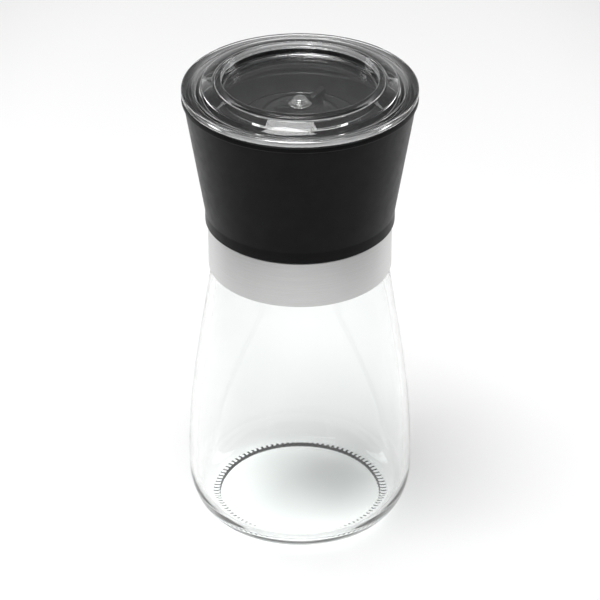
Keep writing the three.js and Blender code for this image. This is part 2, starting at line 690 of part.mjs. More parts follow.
function knobGeometry() {
  const fluteRadius = (Math.PI * KNOB_RADIUS) / KNOB_FLUTES;
  const fluteCentre = KNOB_RADIUS + 1;
  let knob = solid(knobBody());
  for (let i = 0; i < KNOB_FLUTES; i++) {
    const flute = new THREE.CylinderGeometry(fluteRadius, fluteRadius, 4 * KNOB_HEIGHT, 12);
    flute.rotateX(Math.PI / 2);
    flute.translate(fluteCentre, 0, 0);
    flute.rotateZ((i / KNOB_FLUTES) * 2 * Math.PI);
    knob = knob.subtract(solid(flute));
  }
  for (const turn of [WING_ANGLE, WING_ANGLE + 180]) {
    knob = knob.add(solid(wing(degrees(turn))));
  }
  for (let i = 0; i < MARK_COUNT; i++) {
    const size = 0.4 + 0.13 * i;
    const mark = new THREE.SphereGeometry(size, 10, 6);
    mark.translate(KNOB_RADIUS - MARK_SETBACK, 0, KNOB_TOP - 1);
    mark.rotateZ(degrees(MARK_ANGLE + MARK_STEP * i));
    knob = knob.add(solid(mark));
  }
  return surface(knob);
}

// ---------------------------------------------------------------- cup

// The outside of the cone at a height above the jar's lip.
function coneRadius(z) {
  const bottom = CUP_BOTTOM + FOOT_BAND;
  const top = RIM_Z - RIM_HEIGHT - 0.3;
  return THREE.MathUtils.mapLinear(z, bottom, top, CUP_FOOT_RADIUS, RIM_RADIUS - RIM_OVERHANG);
}

function cupGeometry() {
  const rimBore = RIM_RADIUS - RIM_WIDTH;
  const floorRadius = coneRadius(FLOOR_Z) - CUP_WALL - 0.95;
  const counterboreRadius = CARRIER_FLANGE + CLEARANCE;
  const counterboreZ = FLOOR_Z - 1.7;
  const bossBottom = FLOOR_Z - BOSS_DEPTH;
  const under = FLOOR_Z - CUP_FLOOR;
  const ribTop = RIB_Z + RIB_HEIGHT;
  return turned([
    [CUP_FOOT_BORE, CUP_BOTTOM],
    [CUP_FOOT_RADIUS - 0.3, CUP_BOTTOM],
    [CUP_FOOT_RADIUS - 0.05, CUP_BOTTOM + 0.6],
    [CUP_FOOT_RADIUS, CUP_BOTTOM + FOOT_BAND],
    [RIM_RADIUS - RIM_OVERHANG, RIM_Z - RIM_HEIGHT - 0.3],
    [RIM_RADIUS, RIM_Z - RIM_HEIGHT],
    [RIM_RADIUS, RIM_Z - 0.4],
    [RIM_RADIUS - 0.4, RIM_Z],
    [rimBore + 0.4, RIM_Z],
    [rimBore, RIM_Z - 0.3],
    [floorRadius, FLOOR_Z + 0.6],
    [floorRadius - 0.6, FLOOR_Z],
    [counterboreRadius, FLOOR_Z],
    [counterboreRadius, counterboreZ],
    [BOSS_BORE, counterboreZ],
    [BOSS_BORE, bossBottom],
    [BOSS_BORE + BOSS_WALL, bossBottom],
    [BOSS_BORE + BOSS_WALL, under],
    [coneRadius(under) - CUP_WALL, under],
    [coneRadius(ribTop) - CUP_WALL, ribTop],
    [SLEEVE_RADIUS + CLEARANCE, ribTop],
    [SLEEVE_RADIUS + CLEARANCE, RIB_Z],
    [CUP_FOOT_BORE, RIB_Z],
    [CUP_FOOT_BORE, CUP_BOTTOM],
  ], ROUND);
}

// ---------------------------------------------------------------- lid

// A flange on the rim, a plug skirt inside it, and a raised ring round a sunken middle.
function lidGeometry() {
  const seat = CLEARANCE;
  const plugRadius = coneRadius(RIM_Z - LID_PLUG_DEPTH) - CUP_WALL - 1.65;
  const plugBore = plugRadius - LID_PLUG_WALL;
  const recessRadius = LID_RING_RADIUS - LID_RING_WIDTH / 2;
  const floorUnder = seat - 0.6;
  const underRadius = LID_RING_RADIUS + 0.9;
  return turned([
    [0, floorUnder],
    [underRadius - 0.2, floorUnder],
    [underRadius, floorUnder + 0.2],
    [underRadius, LID_HEIGHT - 2],
    [plugBore - 0.4, seat + 1.3],
    [plugBore, -LID_PLUG_DEPTH + 0.2],
    [plugBore + 0.2, -LID_PLUG_DEPTH],
    [plugRadius - 0.2, -LID_PLUG_DEPTH],
    [plugRadius, -LID_PLUG_DEPTH + 0.2],
    [plugRadius + 0.2, seat],
    [RIM_RADIUS - 0.3, seat],
    [RIM_RADIUS, seat + 0.3],
    [RIM_RADIUS, seat + LID_FLANGE - 0.3],
    [RIM_RADIUS - 0.3, seat + LID_FLANGE],
    ...bezier([
      [RIM_RADIUS - 3, seat + LID_FLANGE],
      [RIM_RADIUS - 7.5, LID_HEIGHT - 0.2],
      [LID_RING_RADIUS + 0.4, LID_HEIGHT],
    ], 4),
    [LID_RING_RADIUS - 0.3, LID_HEIGHT],
    [recessRadius, LID_HEIGHT - 0.4],
    [recessRadius - 0.3, floorUnder + LID_FLOOR + 0.4],
    [recessRadius - 0.7, floorUnder + LID_FLOOR],
    [0, floorUnder + LID_FLOOR],
  ], ROUND);
}

// ---------------------------------------------------------------- assembly

function piece(name, geometry, finish) {
  const mesh = new THREE.Mesh(geometry, finish);
  mesh.name = name;
  return mesh;
}

function frameAt(height, ...members) {
  const frame = new THREE.Group();
  frame.position.z = height;
  frame.add(...members);
  return frame;
}

const grinder = frameAt(
  FLOOR_Z,
  piece('shaft_clip', clipGeometry(), brightSteel()),
  piece('burr_spring', springGeometry(), brightSteel()),
  piece('thrust_washer', thrustWasherGeometry(), brightSteel()),
  piece('burr_driver', driverGeometry(), paleNylon()),
  piece('inner_burr', innerBurrGeometry(), whiteCeramic()),
  piece('outer_burr', outerBurrGeometry(), whiteCeramic()),
  piece('burr_carrier', carrierGeometry(), glossBlack()),
  piece('burr_retainer', retainerGeometry(), glossBlack()),
  piece('adjuster_knob', knobGeometry(), glossBlack()),
  piece('star_washer', starWasherGeometry(), brightSteel()),
  piece('end_cap', endCapGeometry(), brightSteel()),
);

const head = frameAt(
  JAR_HEIGHT,
  piece('neck_seal', sealGeometry(), clearSilicone()),
  piece('threaded_collar', collarGeometry(), mattBlack()),
  piece('steel_band', bandGeometry(), brushedSteel()),
  piece('glide_ring', glideRingGeometry(), paleNylon()),
  piece('snap_ring', snapRingGeometry(), brightSteel()),
  piece('shaft_bridge', bridgeGeometry(), paleNylon()),
  piece('hopper_funnel', funnelGeometry(), mattBlack()),
  piece('grinder_shaft', shaftGeometry(), brightSteel()),
  piece('grip_cup', cupGeometry(), mattBlack()),
  grinder,
  frameAt(RIM_Z, piece('dust_lid', lidGeometry(), clearPlastic())),
);

const group = new THREE.Group();
group.name = 'pepper_mill';
group.add(piece('glass_jar', jarGeometry(), clearGlass()), head);

export default group;
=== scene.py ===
import math

import bpy
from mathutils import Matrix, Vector


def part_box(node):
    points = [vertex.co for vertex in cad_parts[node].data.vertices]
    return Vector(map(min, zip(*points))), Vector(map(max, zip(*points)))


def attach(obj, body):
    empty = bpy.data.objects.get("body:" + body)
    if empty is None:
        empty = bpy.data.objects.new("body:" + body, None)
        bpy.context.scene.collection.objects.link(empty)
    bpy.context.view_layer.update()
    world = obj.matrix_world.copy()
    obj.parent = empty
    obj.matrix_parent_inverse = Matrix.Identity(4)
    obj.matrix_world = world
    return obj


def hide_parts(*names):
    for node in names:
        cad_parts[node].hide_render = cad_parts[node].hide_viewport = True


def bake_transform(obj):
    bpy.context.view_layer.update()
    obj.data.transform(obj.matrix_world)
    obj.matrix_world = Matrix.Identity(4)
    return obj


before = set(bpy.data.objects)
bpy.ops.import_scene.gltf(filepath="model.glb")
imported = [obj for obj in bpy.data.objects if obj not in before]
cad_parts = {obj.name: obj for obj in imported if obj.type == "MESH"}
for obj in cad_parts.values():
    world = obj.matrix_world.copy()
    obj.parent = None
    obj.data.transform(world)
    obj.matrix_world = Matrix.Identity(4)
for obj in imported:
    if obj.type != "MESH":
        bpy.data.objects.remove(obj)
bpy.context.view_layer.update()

# Outlines are written in millimetres, as (radius, height) or (radius, height, rounding).
MM = 0.001
FINEST = 192  # facets round the pieces that make the mill's outline
FINE = 160  # facets round the other large pieces
SMALL = 72  # facets round the end cap


def spread(node):
    """A CAD node's outer radius, lowest height and highest height, in millimetres."""
    low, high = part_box(node)
    return high.x / MM, low.z / MM, high.z / MM


# ------------------------------------------------------------------ tools of the bench


def clear_selection():
    bpy.ops.object.select_all(action="DESELECT")


def work_on(piece):
    clear_selection()
    piece.select_set(True)
    bpy.context.view_layer.objects.active = piece


def settle(piece):
    """Writes the piece's place into its mesh, so that its object sits at the origin."""
    work_on(piece)
    bpy.ops.object.transform_apply(location=True, rotation=True, scale=True)
    return piece


def soften(piece, angle=35):
    work_on(piece)
    bpy.ops.object.shade_smooth_by_angle(angle=math.radians(angle))
    return piece


def apply_modifier(piece, kind, **settings):
    work_on(piece)
    modifier = piece.modifiers.new(kind.title(), kind)
    for key, value in settings.items():
        setattr(modifier, key, value)
    bpy.ops.object.modifier_apply(modifier=modifier.name)
    return piece


def shift_vertices(piece, wanted, move):
    """Moves the vertices whose place in millimetres is a wanted one."""
    work_on(piece)
    bpy.ops.object.mode_set(mode="EDIT")
    bpy.ops.mesh.select_mode(type="VERT")
    bpy.ops.mesh.select_all(action="DESELECT")
    bpy.ops.object.mode_set(mode="OBJECT")
    for vertex in piece.data.vertices:
        vertex.select = wanted(vertex.co / MM)
    bpy.ops.object.mode_set(mode="EDIT")
    bpy.ops.transform.translate(value=Vector(move) * MM)
    bpy.ops.object.mode_set(mode="OBJECT")


def join_into(piece, tool, operation):
    """Joins or cuts the piece with a tool solid, which is used up."""
    apply_modifier(piece, "BOOLEAN", object=tool, operation=operation, solver="EXACT")
    bpy.data.objects.remove(tool, do_unlink=True)
    return piece


# ------------------------------------------------------------------ outlines


def rounded(corners, steps=5):
    """A whole outline with every corner that has a rounding turned into a short curve."""
    outline = []
    count = len(corners)
    for i, corner in enumerate(corners):
        here = Vector(corner[:2])
        rounding = corner[2] if len(corner) > 2 else 0
        if not rounding:
            outline.append(tuple(here))
            continue
        before = Vector(corners[i - 1][:2]) - here
        after = Vector(corners[(i + 1) % count][:2]) - here
        reach = rounding / math.tan(before.angle(after) / 2)
        start = here + before.normalized() * reach
        end = here + after.normalized() * reach
        for step in range(steps + 1):
            t = step / steps
            outline.append(tuple(start * (1 - t) ** 2 + here * 2 * t * (1 - t) + end * t * t))
    return outline


def arc(centre, semi_axes, from_angle, to_angle, steps):
    points = []
    for step in range(steps + 1):
        angle = math.radians(from_angle + (to_angle - from_angle) * step / steps)
        radius = centre[0] + semi_axes[0] * math.cos(angle)
        points.append((radius, centre[1] + semi_axes[1] * math.sin(angle)))
    return points


def curve(controls, steps):
    """Points of the Bezier curve with these control points."""
    points = []
    for step in range(steps + 1):
        t = step / steps
        level = [Vector(control) for control in controls]
        while len(level) > 1:
            level = [a.lerp(b, t) for a, b in zip(level, level[1:])]
        points.append(tuple(level[0]))
    return points


# ------------------------------------------------------------------ turned and wound pieces


def turned_piece(name, outline, facets=FINE, closed=True):
    """Draws the outline by extruding a point, then spins it once round the axis."""
    clear_selection()
    radius, height = outline[0]
    bpy.ops.mesh.primitive_plane_add(size=MM, location=(radius * MM, 0, height * MM))
    piece = bpy.context.object
    piece.name = name
    bpy.ops.object.mode_set(mode="EDIT")
    bpy.ops.mesh.select_all(action="SELECT")
    bpy.ops.mesh.merge(type="CENTER")
    path = outline + [outline[0]] if closed else outline
    for (r0, z0), (r1, z1) in zip(path, path[1:]):
        move = ((r1 - r0) * MM, 0, (z1 - z0) * MM)
        bpy.ops.mesh.extrude_vertices_move(TRANSFORM_OT_translate={"value": move})
    bpy.ops.mesh.select_all(action="SELECT")
    bpy.ops.mesh.spin(steps=facets, angle=2 * math.pi, center=(0, 0, 0), axis=(0, 0, 1))
    bpy.ops.mesh.select_all(action="SELECT")
    bpy.ops.mesh.remove_doubles(threshold=0.002 * MM)
    bpy.ops.mesh.normals_make_consistent(inside=False)
    bpy.ops.object.mode_set(mode="OBJECT")
    piece.data.name = name
    return soften(settle(piece))


def wound_ridge(name, radius, depth, width, top_z, top_angle, turns, pitch, buried=0.2, fade=0.08):
    """
    An oval section wound round the axis. A positive depth stands out from the radius and a
    negative one stands in; the other half is squeezed to the buried share of it. Each end
    fades out over a share of the ridge's length.
    """
    sides = 16
    clear_selection()
    bpy.ops.mesh.primitive_circle_add(vertices=sides, radius=MM, fill_type="NOTHING")
    ridge = bpy.context.object
    ridge.name = name
    sweep = turns * 2 * math.pi
    ridge.rotation_euler = (math.pi / 2, 0, 0)
    ridge.scale = (abs(depth), width / 2, 1)
    ridge.location = (radius * MM, 0, (top_z - turns * pitch) * MM)
    settle(ridge)
    steps = round(turns * 72)
    apply_modifier(
        ridge, "SCREW", angle=sweep, screw_offset=turns * pitch * MM, steps=steps, render_steps=steps,
        use_merge_vertices=False,
    )
    for vertex in ridge.data.vertices:
        angle = math.atan2(vertex.co.y, vertex.co.x)
        rise = (vertex.co.z / MM - (top_z - turns * pitch)) / (turns * pitch)
        turn = round(rise * turns - angle / (2 * math.pi))
        along = (angle / (2 * math.pi) + turn) / turns
        share = 1.0
        if fade:
            nearest_end = max(0.05, min(1.0, along / fade, (1 - along) / fade))
            share = math.sin(nearest_end * math.pi / 2)
        here = math.hypot(vertex.co.x, vertex.co.y) / MM
        if (here - radius) * depth < 0:
            share *= buried
        wanted = radius + (here - radius) * share
        vertex.co.x *= wanted / here
        vertex.co.y *= wanted / here
    work_on(ridge)
    bpy.ops.object.mode_set(mode="EDIT")
    bpy.ops.mesh.select_all(action="SELECT")
    bpy.ops.mesh.fill_holes(sides=0)
    bpy.ops.mesh.select_all(action="SELECT")
    bpy.ops.mesh.normals_make_consistent(inside=False)
    bpy.ops.object.mode_set(mode="OBJECT")
    ridge.rotation_euler = (0, 0, math.radians(top_angle) - sweep)
    return settle(ridge)


def dressed_copy(node, name, edge=0.1, angle=30, segments=2):
    """A CAD node's shape as a piece of its own, merged, with its edges broken."""
    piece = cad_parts[node].copy()
    piece.data = piece.data.copy()
    piece.name = name
    piece.data.name = name
    piece.parent = None
    for key in list(piece.keys()):
        del piece[key]
    bpy.context.scene.collection.objects.link(piece)
    piece.data.materials.clear()
    work_on(piece)
    bpy.ops.object.mode_set(mode="EDIT")
    bpy.ops.mesh.select_all(action="SELECT")
    bpy.ops.mesh.remove_doubles(threshold=0.005 * MM)
    bpy.ops.mesh.dissolve_limited(angle_limit=math.radians(1))
    bpy.ops.object.mode_set(mode="OBJECT")
    if edge:
        apply_modifier(
            piece, "BEVEL", width=edge * MM, segments=segments, limit_method="ANGLE",
            angle_limit=math.radians(angle), harden_normals=False,
        )
    return soften(piece)


def finish_piece(piece, body, material, slot, *nodes):
    """Gives the piece its material, its body and the CAD nodes that it stands for."""
    piece.data.materials.clear()
    piece.data.materials.append(material)
    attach(piece, body)
    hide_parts(*nodes)
    return piece


# ------------------------------------------------------------------ finishes


def add_node(tree, kind, **settings):
    made = tree.nodes.new(kind)
    for key, value in settings.items():
        setattr(made, key, value)
    return made


class Finish:
    """A material under way: its principled shader and the nodes that feed it."""

    def __init__(self, name, colour, roughness, **constants):
        self.material = bpy.data.materials.new(name)
        self.material.use_nodes = True
        self.tree = self.material.node_tree
        self.shader = self.tree.nodes["Principled BSDF"]
        self.shader.inputs["Base Color"].default_value = (*colour, 1)
        self.shader.inputs["Roughness"].default_value = roughness
        for socket, value in constants.items():
            self.shader.inputs[socket.replace("_", " ")].default_value = value
        self.place = self.tree.nodes.new("ShaderNodeTexCoord").outputs["Object"]

    def node(self, kind, **settings):
        return add_node(self.tree, kind, **settings)

    def link(self, source, target):
        self.tree.links.new(source, target)

    def grain(self, size, detail=3, stretch=(1, 1, 1)):
        """Noise whose grains are about this many millimetres across."""
        mapping = self.node("ShaderNodeMapping")
        mapping.inputs["Scale"].default_value = stretch
        noise = self.node("ShaderNodeTexNoise")
        noise.inputs["Scale"].default_value = 1 / (size * MM)
        noise.inputs["Detail"].default_value = detail
        self.link(self.place, mapping.inputs["Vector"])
        self.link(mapping.outputs["Vector"], noise.inputs["Vector"])
        return noise.outputs["Fac"]

    def vary_colour(self, source, dark, light, low=0.35, high=0.65):
        """Runs from dark to light as the source goes from low to high."""
        ramp = self.node("ShaderNodeValToRGB")
        ramp.color_ramp.elements[0].position = low
        ramp.color_ramp.elements[0].color = (*dark, 1)
        ramp.color_ramp.elements[1].position = high
        ramp.color_ramp.elements[1].color = (*light, 1)
        self.link(source, ramp.inputs["Fac"])
        self.link(ramp.outputs["Color"], self.shader.inputs["Base Color"])
        return self

    def vary_roughness(self, source, low, high):
        """Noise keeps mostly between 0.3 and 0.7, so that stretch is spread over the range."""
        stretch = self.node("ShaderNodeMapRange")
        stretch.inputs["From Min"].default_value = 0.3
        stretch.inputs["From Max"].default_value = 0.7
        stretch.inputs["To Min"].default_value = low
        stretch.inputs["To Max"].default_value = high
        self.link(source, stretch.inputs["Value"])
        self.link(stretch.outputs["Result"], self.shader.inputs["Roughness"])
        return self

    def relief(self, source, height, strength=1.0):
        """A fine relief of this height in millimetres."""
        bump = self.node("ShaderNodeBump")
        bump.inputs["Distance"].default_value = height * MM
        bump.inputs["Strength"].default_value = strength
        self.link(source, bump.inputs["Height"])
        self.link(bump.outputs["Normal"], self.shader.inputs["Normal"])
        return self

    def let_lamps_through(self, tint):
        """Shadow rays pass straight through, so that clear pieces don't darken what they hold."""
        path = self.node("ShaderNodeLightPath")
        clear = self.node("ShaderNodeBsdfTransparent")
        clear.inputs["Color"].default_value = (*tint, 1)
        mix = self.node("ShaderNodeMixShader")
        output = self.tree.nodes["Material Output"]
        self.link(path.outputs["Is Shadow Ray"], mix.inputs["Fac"])
        self.link(self.shader.outputs["BSDF"], mix.inputs[1])
        self.link(clear.outputs["BSDF"], mix.inputs[2])
        self.link(mix.outputs["Shader"], output.inputs["Surface"])
        return self


def matt_black_moulding():
    finish = Finish(
        "matt black moulding", (0.005, 0.005, 0.0053), 0.42, Specular_IOR_Level=0.1,
        Sheen_Weight=0.09, Sheen_Roughness=0.3,
    )
    finish.vary_colour(finish.grain(7), (0.0038, 0.0038, 0.004), (0.0062, 0.0062, 0.0066))
    finish.vary_roughness(finish.grain(3), 0.36, 0.44)
    return finish.relief(finish.grain(0.35, 4), 0.012, 0.3).material


def gloss_black_moulding():
    finish = Finish("gloss black moulding", (0.004, 0.004, 0.0045), 0.1, Specular_IOR_Level=0.5)
    finish.vary_colour(finish.grain(5), (0.003, 0.003, 0.0032), (0.006, 0.006, 0.0065))
    finish.vary_roughness(finish.grain(1.6), 0.06, 0.14)
    return finish.relief(finish.grain(2.4, 2), 0.02, 0.25).material


def brushed_band_steel():
    finish = Finish(
        "brushed band steel", (0.62, 0.62, 0.615), 0.34, Metallic=1.0,
        Anisotropic=0.6, Anisotropic_Rotation=0.25,
    )
    lines = finish.grain(0.12, 3, (0.01, 0.01, 1))
    finish.vary_colour(lines, (0.59, 0.595, 0.59), (0.65, 0.65, 0.645))
    finish.vary_roughness(lines, 0.31, 0.37)
    tangent = finish.node("ShaderNodeTangent", direction_type="RADIAL", axis="Z")
    finish.link(tangent.outputs["Tangent"], finish.shader.inputs["Tangent"])
    return finish.relief(lines, 0.002, 0.25).material


def bright_steel():
    finish = Finish("bright steel", (0.78, 0.78, 0.77), 0.16, Metallic=1.0)
    marks = finish.grain(0.5, 4)
    finish.vary_colour(marks, (0.70, 0.70, 0.69), (0.84, 0.84, 0.83))
    finish.vary_roughness(marks, 0.10, 0.24)
    return finish.relief(finish.grain(0.25, 3), 0.006, 0.3).material


def white_ceramic():
    finish = Finish("white ceramic", (0.86, 0.85, 0.83), 0.24, Specular_IOR_Level=0.55)
    finish.vary_colour(finish.grain(2.2), (0.82, 0.81, 0.79), (0.90, 0.895, 0.88))
    finish.vary_roughness(finish.grain(0.8), 0.18, 0.34)
    return finish.relief(finish.grain(0.3, 4), 0.01, 0.3).material


def natural_nylon():
    finish = Finish("natural nylon", (0.72, 0.70, 0.65), 0.42)
    finish.vary_colour(finish.grain(3), (0.66, 0.64, 0.59), (0.76, 0.745, 0.70))
    finish.vary_roughness(finish.grain(1), 0.36, 0.5)
    return finish.relief(finish.grain(0.4, 3), 0.01, 0.3).material


def frosted_silicone():
    finish = Finish("frosted silicone", (0.80, 0.81, 0.80), 0.5, Transmission_Weight=0.35, IOR=1.41)
    finish.vary_colour(finish.grain(1.5), (0.76, 0.77, 0.76), (0.84, 0.85, 0.84))
    finish.vary_roughness(finish.grain(0.6), 0.42, 0.58)
    return finish.relief(finish.grain(0.3, 3), 0.01, 0.3).let_lamps_through((0.8, 0.8, 0.8)).material


def jar_glass():
    finish = Finish("jar glass", (0.985, 0.995, 0.99), 0.0, Transmission_Weight=1.0, IOR=1.5)
    finish.vary_colour(finish.grain(18), (0.975, 0.99, 0.985), (0.995, 1.0, 0.998))
    finish.relief(finish.grain(11, 1), 0.05, 0.3)
    return finish.let_lamps_through((0.96, 0.97, 0.965)).material


def lid_plastic():
    finish = Finish("lid plastic", (0.985, 0.99, 0.99), 0.015, Transmission_Weight=1.0, IOR=1.49)
    finish.vary_colour(finish.grain(14), (0.975, 0.985, 0.985), (0.995, 0.997, 0.997))
    finish.relief(finish.grain(9, 1), 0.03, 0.25)
    return finish.let_lamps_through((0.96, 0.965, 0.965)).material


MATT_BLACK = matt_black_moulding()
GLOSS_BLACK = gloss_black_moulding()
BAND_STEEL = brushed_band_steel()
BRIGHT_STEEL = bright_steel()
CERAMIC = white_ceramic()
NYLON = natural_nylon()
SILICONE = frosted_silicone()
JAR_GLASS = jar_glass()
LID_PLASTIC = lid_plastic()

# ------------------------------------------------------------------ sizes taken from the frame

JAR_RADIUS, _, JAR_LIP = spread("glass_jar")
SEAL_RADIUS, SEAL_LOW, SEAL_HIGH = spread("neck_seal")
COLLAR_RADIUS, COLLAR_LOW, SLEEVE_TOP = spread("threaded_collar")
BAND_RADIUS, BAND_LOW, BAND_HIGH = spread("steel_band")
RIM_RADIUS, CUP_LOW, RIM_Z = spread("grip_cup")
CARRIER_FLANGE, CARRIER_LOW, FLOOR_Z = spread("burr_carrier")
BURR_RADIUS, _, _ = spread("outer_burr")
FUNNEL_RADIUS, FUNNEL_LOW, FUNNEL_HIGH = spread("hopper_funnel")
RETAINER_RADIUS, RETAINER_LOW, RETAINER_HIGH = spread("burr_retainer")
GLIDE_RADIUS, GLIDE_LOW, GLIDE_HIGH = spread("glide_ring")
_, SNAP_LOW, SNAP_HIGH = spread("snap_ring")
SPRING_RADIUS, SPRING_LOW, SPRING_HIGH = spread("burr_spring")
CAP_RADIUS, CAP_LOW, CAP_HIGH = spread("end_cap")
LID_RADIUS, LID_LOW, LID_HIGH = spread("dust_lid")

# Sizes inside a node's box, which the frame can't tell
CLEARANCE = 0.3
NECK_RADIUS = 25.2
LIP_BORE = 23.2
SHOULDER_RADIUS = 29.2
SHOULDER_Z = JAR_LIP - 17
NECK_Z = SHOULDER_Z + 6.2  # where the shoulder meets the neck
JAR_WALL = 2.5
HEEL_WIDTH, HEEL_HEIGHT = 9, 16  # the rounded bottom corner of the jar
THREAD_PITCH = 4.5
THREAD_START = 265.6  # compass angle of the upper end of both ridges
JAR_RIDGE_TURNS = 1.575
COLLAR_RIDGE_TURNS = 1.25
COLLAR_BORE = 28.0
COLLAR_NECK = 28.2  # the collar just above the band
SLEEVE_RADIUS = 26.6
SLEEVE_BORE = 24.6
LEDGE_BORE = 22.0
CUP_FOOT_BORE = 28.6
RIB_BORE = 26.9
KNOB_RADIUS = 13.3
KNOB_LOW = FLOOR_Z - 1
KNOB_TOP = FLOOR_Z + 5
STUD_BORE = 2.3  # in the knob and in the end cap
FLUTE_COUNT = 20
WING_ANGLE = 44
FIRST_MARK_ANGLE, MARK_STEP = 260, 21
PIP_COUNT = 3



def ring_outline(bore, radius, low, high, roundings):
    """A plain ring; the roundings are of its inner low, outer low, outer high and inner high edges."""
    corners = ((bore, low), (radius, low), (radius, high), (bore, high))
    return rounded([(*corner, rounding) for corner, rounding in zip(corners, roundings)])


# ------------------------------------------------------------------ jar


def jar_side(wall):
    """The jar's side from the heel up to the shoulder, this far in from the outside."""
    return curve(
        [
            (JAR_RADIUS - wall, HEEL_HEIGHT),
            (JAR_RADIUS + 0.1 - wall, 42),
            (34 - wall, SHOULDER_Z - 31),
            (SHOULDER_RADIUS - wall, SHOULDER_Z),
        ],
        22,
    )


def jar_shoulder(wall, neck):
    """The shoulder, this far in from the outside, up to a neck of this radius."""
    return curve(
        [
            (SHOULDER_RADIUS - wall, SHOULDER_Z),
            (SHOULDER_RADIUS - 0.6 - wall, SHOULDER_Z + 3.6),
            (neck, NECK_Z),
        ],
        8,
    )


def between_foot_ridges(place):
    """The foot's ring is knurled: every other row of its vertices is lifted off the table."""
    row = round(math.atan2(place.y, place.x) / (2 * math.pi) * FINEST)
    return place.z < 1.0 and 27 < place.xy.length < 31.5 and row % 2


def make_jar():
    """One skin of glass: under the base, up the outside, over the lip and down the inside."""
    heel = (JAR_RADIUS - HEEL_WIDTH, HEEL_HEIGHT)
    foot = [(26.6, 1.3), (27.4, 0.9), (28.3, 0.15), (29.0, 0), (30.0, 0), (30.6, 0.2)]
    outside = [(0, 2.3), *curve([(4, 2.28), (18, 2.1), (25.8, 1.4)], 6), *foot]
    outside += arc(heel, (HEEL_WIDTH, HEEL_HEIGHT), -74, 0, 16)
    outside += jar_side(0)[1:] + jar_shoulder(0, NECK_RADIUS)[1:]
    lip = rounded(
        [
            (NECK_RADIUS, NECK_Z),
            (NECK_RADIUS, JAR_LIP - 1.6, 0.15),
            (NECK_RADIUS + 0.45, JAR_LIP - 1.3, 0.3),
            (NECK_RADIUS + 0.45, JAR_LIP, 0.7),
            (LIP_BORE, JAR_LIP, 0.6),
            (LIP_BORE, NECK_Z),
        ],
        6,
    )
    inside = jar_shoulder(JAR_WALL, LIP_BORE)[::-1][1:] + jar_side(JAR_WALL)[::-1][1:]
    inside += arc(heel, (HEEL_WIDTH - JAR_WALL, 12), 0, -90, 14)[1:]
    inside += [*curve([(27.0, 4.0), (18, 4.3), (4, 4.75)], 6), (0, 4.8)]
    jar = turned_piece("jar", outside + lip[1:] + inside, FINEST, closed=False)
    shift_vertices(jar, between_foot_ridges, (0, 0, 0.45))
    ridge = wound_ridge(
        "jar_ridge", NECK_RADIUS, 2.2, 2.6, JAR_LIP - 3, THREAD_START, JAR_RIDGE_TURNS, THREAD_PITCH
    )
    join_into(jar, ridge, "UNION")
    soften(jar, 40)
    finish_piece(jar, "jar", JAR_GLASS, "clear_glass", "glass_jar")


def make_seal():
    bore = LIP_BORE - 0.7
    outline = ring_outline(bore, SEAL_RADIUS, SEAL_LOW, SEAL_HIGH, (0.35, 0.35, 0.35, 0.35))
    seal = turned_piece("seal_ring", outline)
    finish_piece(seal, "seal", SILICONE, "clear_silicone", "neck_seal")


# ------------------------------------------------------------------ collar


def make_collar():
    """The threaded skirt, the ledge over the seal, and the grooved sleeve that the cup turns on."""
    step_z = JAR_LIP + 0.7
    ledge = JAR_LIP + 1.4
    ledge_top = ledge + 1.6
    seat_low = ledge - 2.8
    seat_bore = 26.2
    groove = 25.6
    groove_low, groove_high = SNAP_LOW - 0.2, SNAP_HIGH + 0.2
    outline = rounded(
        [
            (COLLAR_BORE, COLLAR_LOW, 0.3),
            (COLLAR_RADIUS, COLLAR_LOW, 0.3),
            (COLLAR_RADIUS, step_z, 0.15),
            (COLLAR_NECK, step_z),
            (COLLAR_NECK, ledge_top, 0.2),
            (SLEEVE_RADIUS, ledge_top),
            (SLEEVE_RADIUS, groove_low),
            (groove, groove_low),
            (groove, groove_high),
            (SLEEVE_RADIUS, groove_high),
            (SLEEVE_RADIUS, SLEEVE_TOP, 0.6),
            (SLEEVE_BORE, SLEEVE_TOP, 0.3),
            (SLEEVE_BORE, ledge_top),
            (LEDGE_BORE, ledge_top, 0.2),
            (LEDGE_BORE, ledge, 0.2),
            (seat_bore, ledge),
            (seat_bore, seat_low, 0.2),
            (COLLAR_BORE, seat_low),
        ],
        3,
    )
    collar = turned_piece("collar", outline)
    ridge = wound_ridge(
        "collar_ridge", COLLAR_BORE, -2.1, 1.9, JAR_LIP - 5.25, THREAD_START, COLLAR_RIDGE_TURNS,
        THREAD_PITCH,
    )
    join_into(collar, ridge, "UNION")
    soften(collar, 40)
    finish_piece(collar, "collar", MATT_BLACK, "matt_black", "threaded_collar")


def make_band():
    thickness = 0.6
    bore = BAND_RADIUS - thickness
    outline = ring_outline(bore, BAND_RADIUS, BAND_LOW, BAND_HIGH, (0.1, 0.28, 0.28, 0.1))
    band = turned_piece("band", outline, FINEST)
    finish_piece(band, "collar", BAND_STEEL, "brushed_band", "steel_band")


def make_funnel():
    wall = 1.4
    narrow = KNOB_RADIUS + CLEARANCE
    outline = rounded(
        [
            (FUNNEL_RADIUS - wall, FUNNEL_LOW, 0.2),
            (FUNNEL_RADIUS, FUNNEL_LOW, 0.2),
            (FUNNEL_RADIUS, FUNNEL_LOW + 2, 0.8),
            (narrow + wall, FUNNEL_HIGH, 0.3),
            (narrow, FUNNEL_HIGH, 0.3),
            (FUNNEL_RADIUS - wall, FUNNEL_LOW + 1.2, 0.8),
        ]
    )
    funnel = turned_piece("funnel", outline)
    finish_piece(funnel, "collar", MATT_BLACK, "matt_black", "hopper_funnel")


